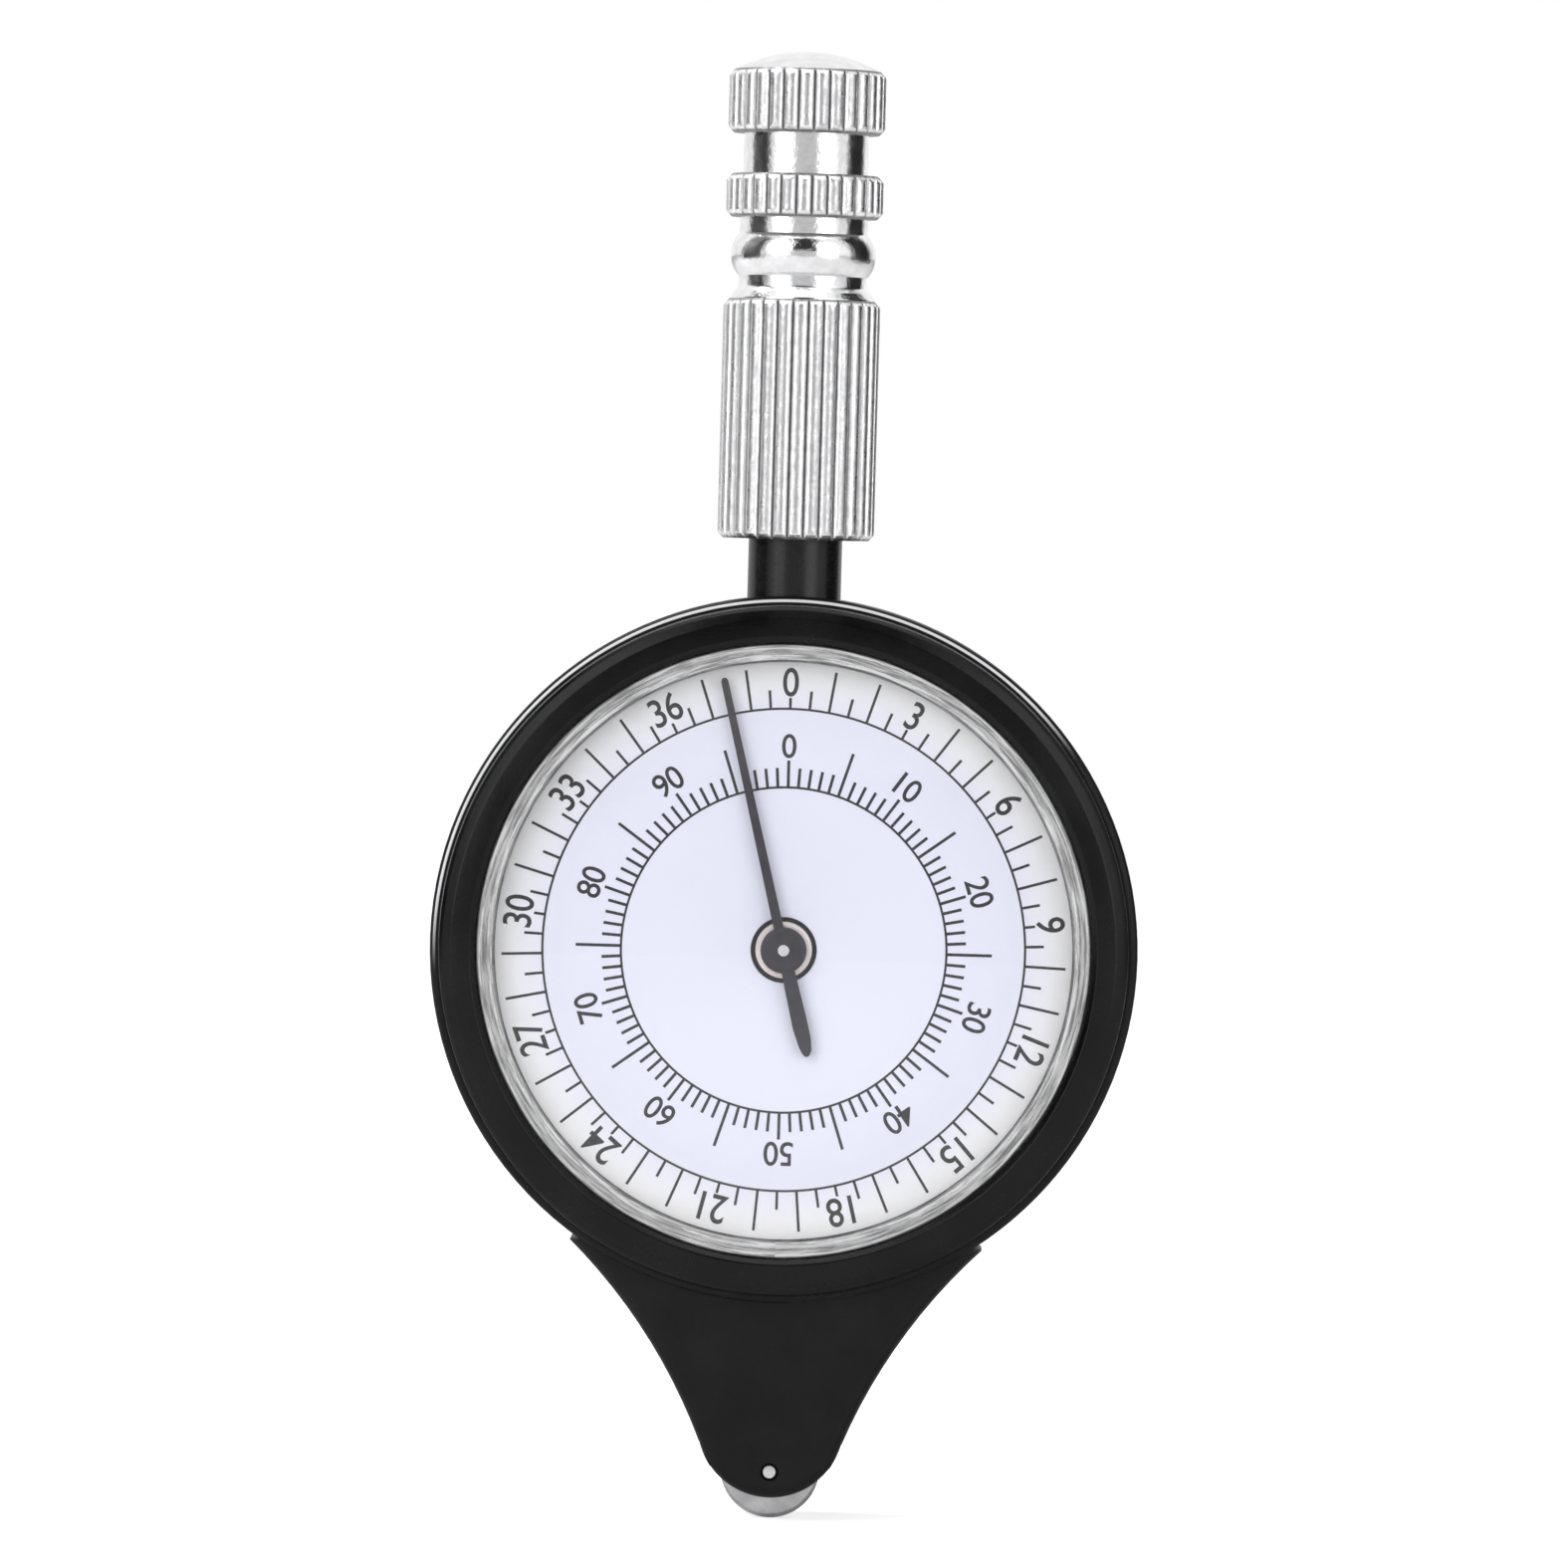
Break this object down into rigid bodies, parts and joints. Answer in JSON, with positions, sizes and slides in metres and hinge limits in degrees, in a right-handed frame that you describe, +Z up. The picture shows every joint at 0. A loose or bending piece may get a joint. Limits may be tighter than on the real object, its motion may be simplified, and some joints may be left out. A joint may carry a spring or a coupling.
{
  "type": "opisometer",
  "caption": "Map measurer: a tracing wheel under a round dial case turns a pointer over centimetre and inch scales through a hidden gear train; knurled metal handle on top.",
  "frame": {"origin": "the point where the tracing wheel touches the map, under the middle of the case", "axes": "+Z up along the handle, +X to the right of someone reading the dial, the dial faces -Y"},
  "size_m": [0.05, 0.0126, 0.104],
  "materials": {
    "case_black": "semi-matte moulded, fine grain",
    "bezel_black": "satin, worn at the inner edge",
    "crystal_clear": "clear, lightly scuffed at the rim",
    "dial_white": "matt white with dark print",
    "pointer_dark": "matt dark grey",
    "steel": "turned, bright",
    "wheel_steel": "rubbed grey, brighter at the rim",
    "bush_brass": "turned, reddish",
    "gear_brass": "stamped, satin",
    "washer_white": "natural",
    "stem_black": "satin black",
    "handle_chrome": "bright plated"
  },
  "bodies": {
    "case": {"rear_case": "case_black", "front_case": "case_black", "case_screws": "steel", "bezel_ring": "bezel_black", "crystal": "crystal_clear", "dial": "dial_white", "movement_plate": "gear_brass", "plate_screws": "steel", "centre_bush": "bush_brass", "thrust_washer": "washer_white", "axle_washers": "gear_brass", "stem": "stem_black", "handle_stud": "steel", "handle": "handle_chrome"},
    "pointer_set": {"pointer": "pointer_dark", "pointer_arbor": "steel", "centre_gear": "gear_brass"},
    "third_arbor": {"third_pinion": "steel", "third_gear": "gear_brass"},
    "second_arbor": {"second_pinion": "steel", "second_gear": "gear_brass"},
    "first_arbor": {"first_pinion": "steel", "first_gear": "gear_brass"},
    "wheel_set": {"tracing_wheel": "wheel_steel", "wheel_pinion": "steel", "wheel_axle": "steel"}
  },
  "joints": [
    {"name": "pointer_spin", "type": "hinge", "parent": "case", "child": "pointer_set", "pos_m": [0, 0, 0.04047], "axis": [0, 1, 0], "continuous": true},
    {"name": "third_spin", "type": "hinge", "parent": "case", "child": "third_arbor", "pos_m": [0, 0, 0.02751], "axis": [0, 1, 0], "continuous": true},
    {"name": "second_spin", "type": "hinge", "parent": "case", "child": "second_arbor", "pos_m": [0, 0, 0.01779], "axis": [0, 1, 0], "continuous": true},
    {"name": "first_spin", "type": "hinge", "parent": "case", "child": "first_arbor", "pos_m": [0, 0, 0.00834], "axis": [0, 1, 0], "continuous": true},
    {"name": "wheel_spin", "type": "hinge", "parent": "case", "child": "wheel_set", "pos_m": [0, 0, 0.00354], "axis": [0, 1, 0], "continuous": true}
  ],
  "couplings": [
    {"joint": "third_spin", "follows": "pointer_spin", "ratio": -3},
    {"joint": "second_spin", "follows": "pointer_spin", "ratio": 6},
    {"joint": "first_spin", "follows": "pointer_spin", "ratio": -15},
    {"joint": "wheel_spin", "follows": "pointer_spin", "ratio": 45}
  ]
}
